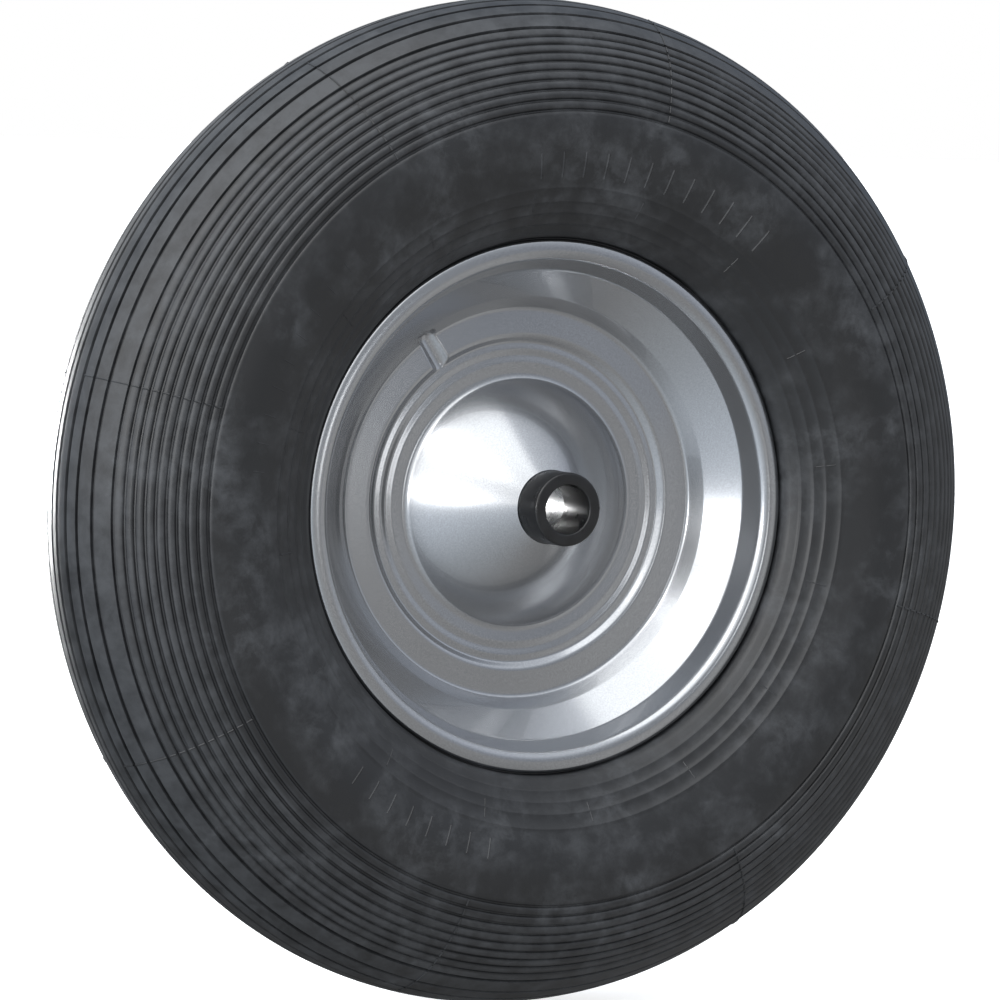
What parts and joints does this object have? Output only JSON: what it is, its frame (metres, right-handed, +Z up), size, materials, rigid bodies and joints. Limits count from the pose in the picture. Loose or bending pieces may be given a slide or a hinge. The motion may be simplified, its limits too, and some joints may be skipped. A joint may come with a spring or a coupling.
{
  "type": "wheelbarrow wheel",
  "caption": "Pneumatic wheelbarrow wheel: ribbed black tyre on a domed silver two-piece steel rim, with a long hub in plastic bushes and a capped valve.",
  "frame": {"origin": "centre of the wheel, on the axle's axis and on the tyre's middle plane", "axes": "+Y along the axle towards the valve side, -Y the plain front, +Z up, valve at the bottom (-Z)"},
  "size_m": [0.413, 0.0974, 0.413],
  "materials": {
    "tyre_rubber": "moulded, ribbed, dusty satin",
    "tube_rubber": "smooth butyl",
    "bead_steel": "drawn wire, bronze coated",
    "silver_enamel": "glossy metallic silver enamel",
    "plated_tube": "bright zinc plated",
    "black_polyamide": "moulded, satin",
    "stem_rubber": "moulded, matt",
    "valve_brass": "turned",
    "seal_plastic": "moulded",
    "spring_steel": "drawn wire",
    "black_plastic": "moulded, fluted"
  },
  "bodies": {
    "bushes": {"bush_front": "black_polyamide", "bush_rear": "black_polyamide"},
    "wheel": {"tyre": "tyre_rubber", "bead_wire_front": "bead_steel", "bead_wire_rear": "bead_steel", "inner_tube": "tube_rubber", "rim_shell_front": "silver_enamel", "rim_shell_rear": "silver_enamel", "hub_tube": "plated_tube", "valve_stem_rubber": "stem_rubber", "valve_stem_insert": "valve_brass", "valve_core_body": "valve_brass", "valve_core_seal": "seal_plastic", "valve_spring": "spring_steel"},
    "valve_pin": {"valve_pin": "valve_brass", "valve_pin_cup": "valve_brass", "valve_pin_seal": "stem_rubber"},
    "valve_cap_liner": {"valve_cap_liner": "stem_rubber"},
    "valve_cap": {"valve_cap": "black_plastic"}
  },
  "joints": [
    {"name": "wheel_spin", "type": "hinge", "parent": "bushes", "child": "wheel", "pos_m": [0, 0, 0], "axis": [0, 1, 0], "continuous": true},
    {"name": "valve_pin_press", "type": "slide", "parent": "wheel", "child": "valve_pin", "axis": [0, -0.7248, -0.689], "range_m": [0, 0.0012], "stiffness_N_per_m": 450, "springref_m": -0.003, "deforming": ["valve_spring"]},
    {"name": "valve_cap_lift", "type": "slide", "parent": "wheel", "child": "valve_cap_liner", "axis": [0, 0.7248, 0.689], "range_m": [0, 0.00714]},
    {"name": "valve_cap_turn", "type": "hinge", "parent": "valve_cap_liner", "child": "valve_cap", "pos_m": [0, 0.0155, -0.0911], "axis": [0, 0.7248, 0.689], "range_deg": [0, 3245]}
  ],
  "couplings": [
    {"joint": "valve_cap_turn", "follows": "valve_cap_lift", "rad_per_m": 7915.8}
  ]
}
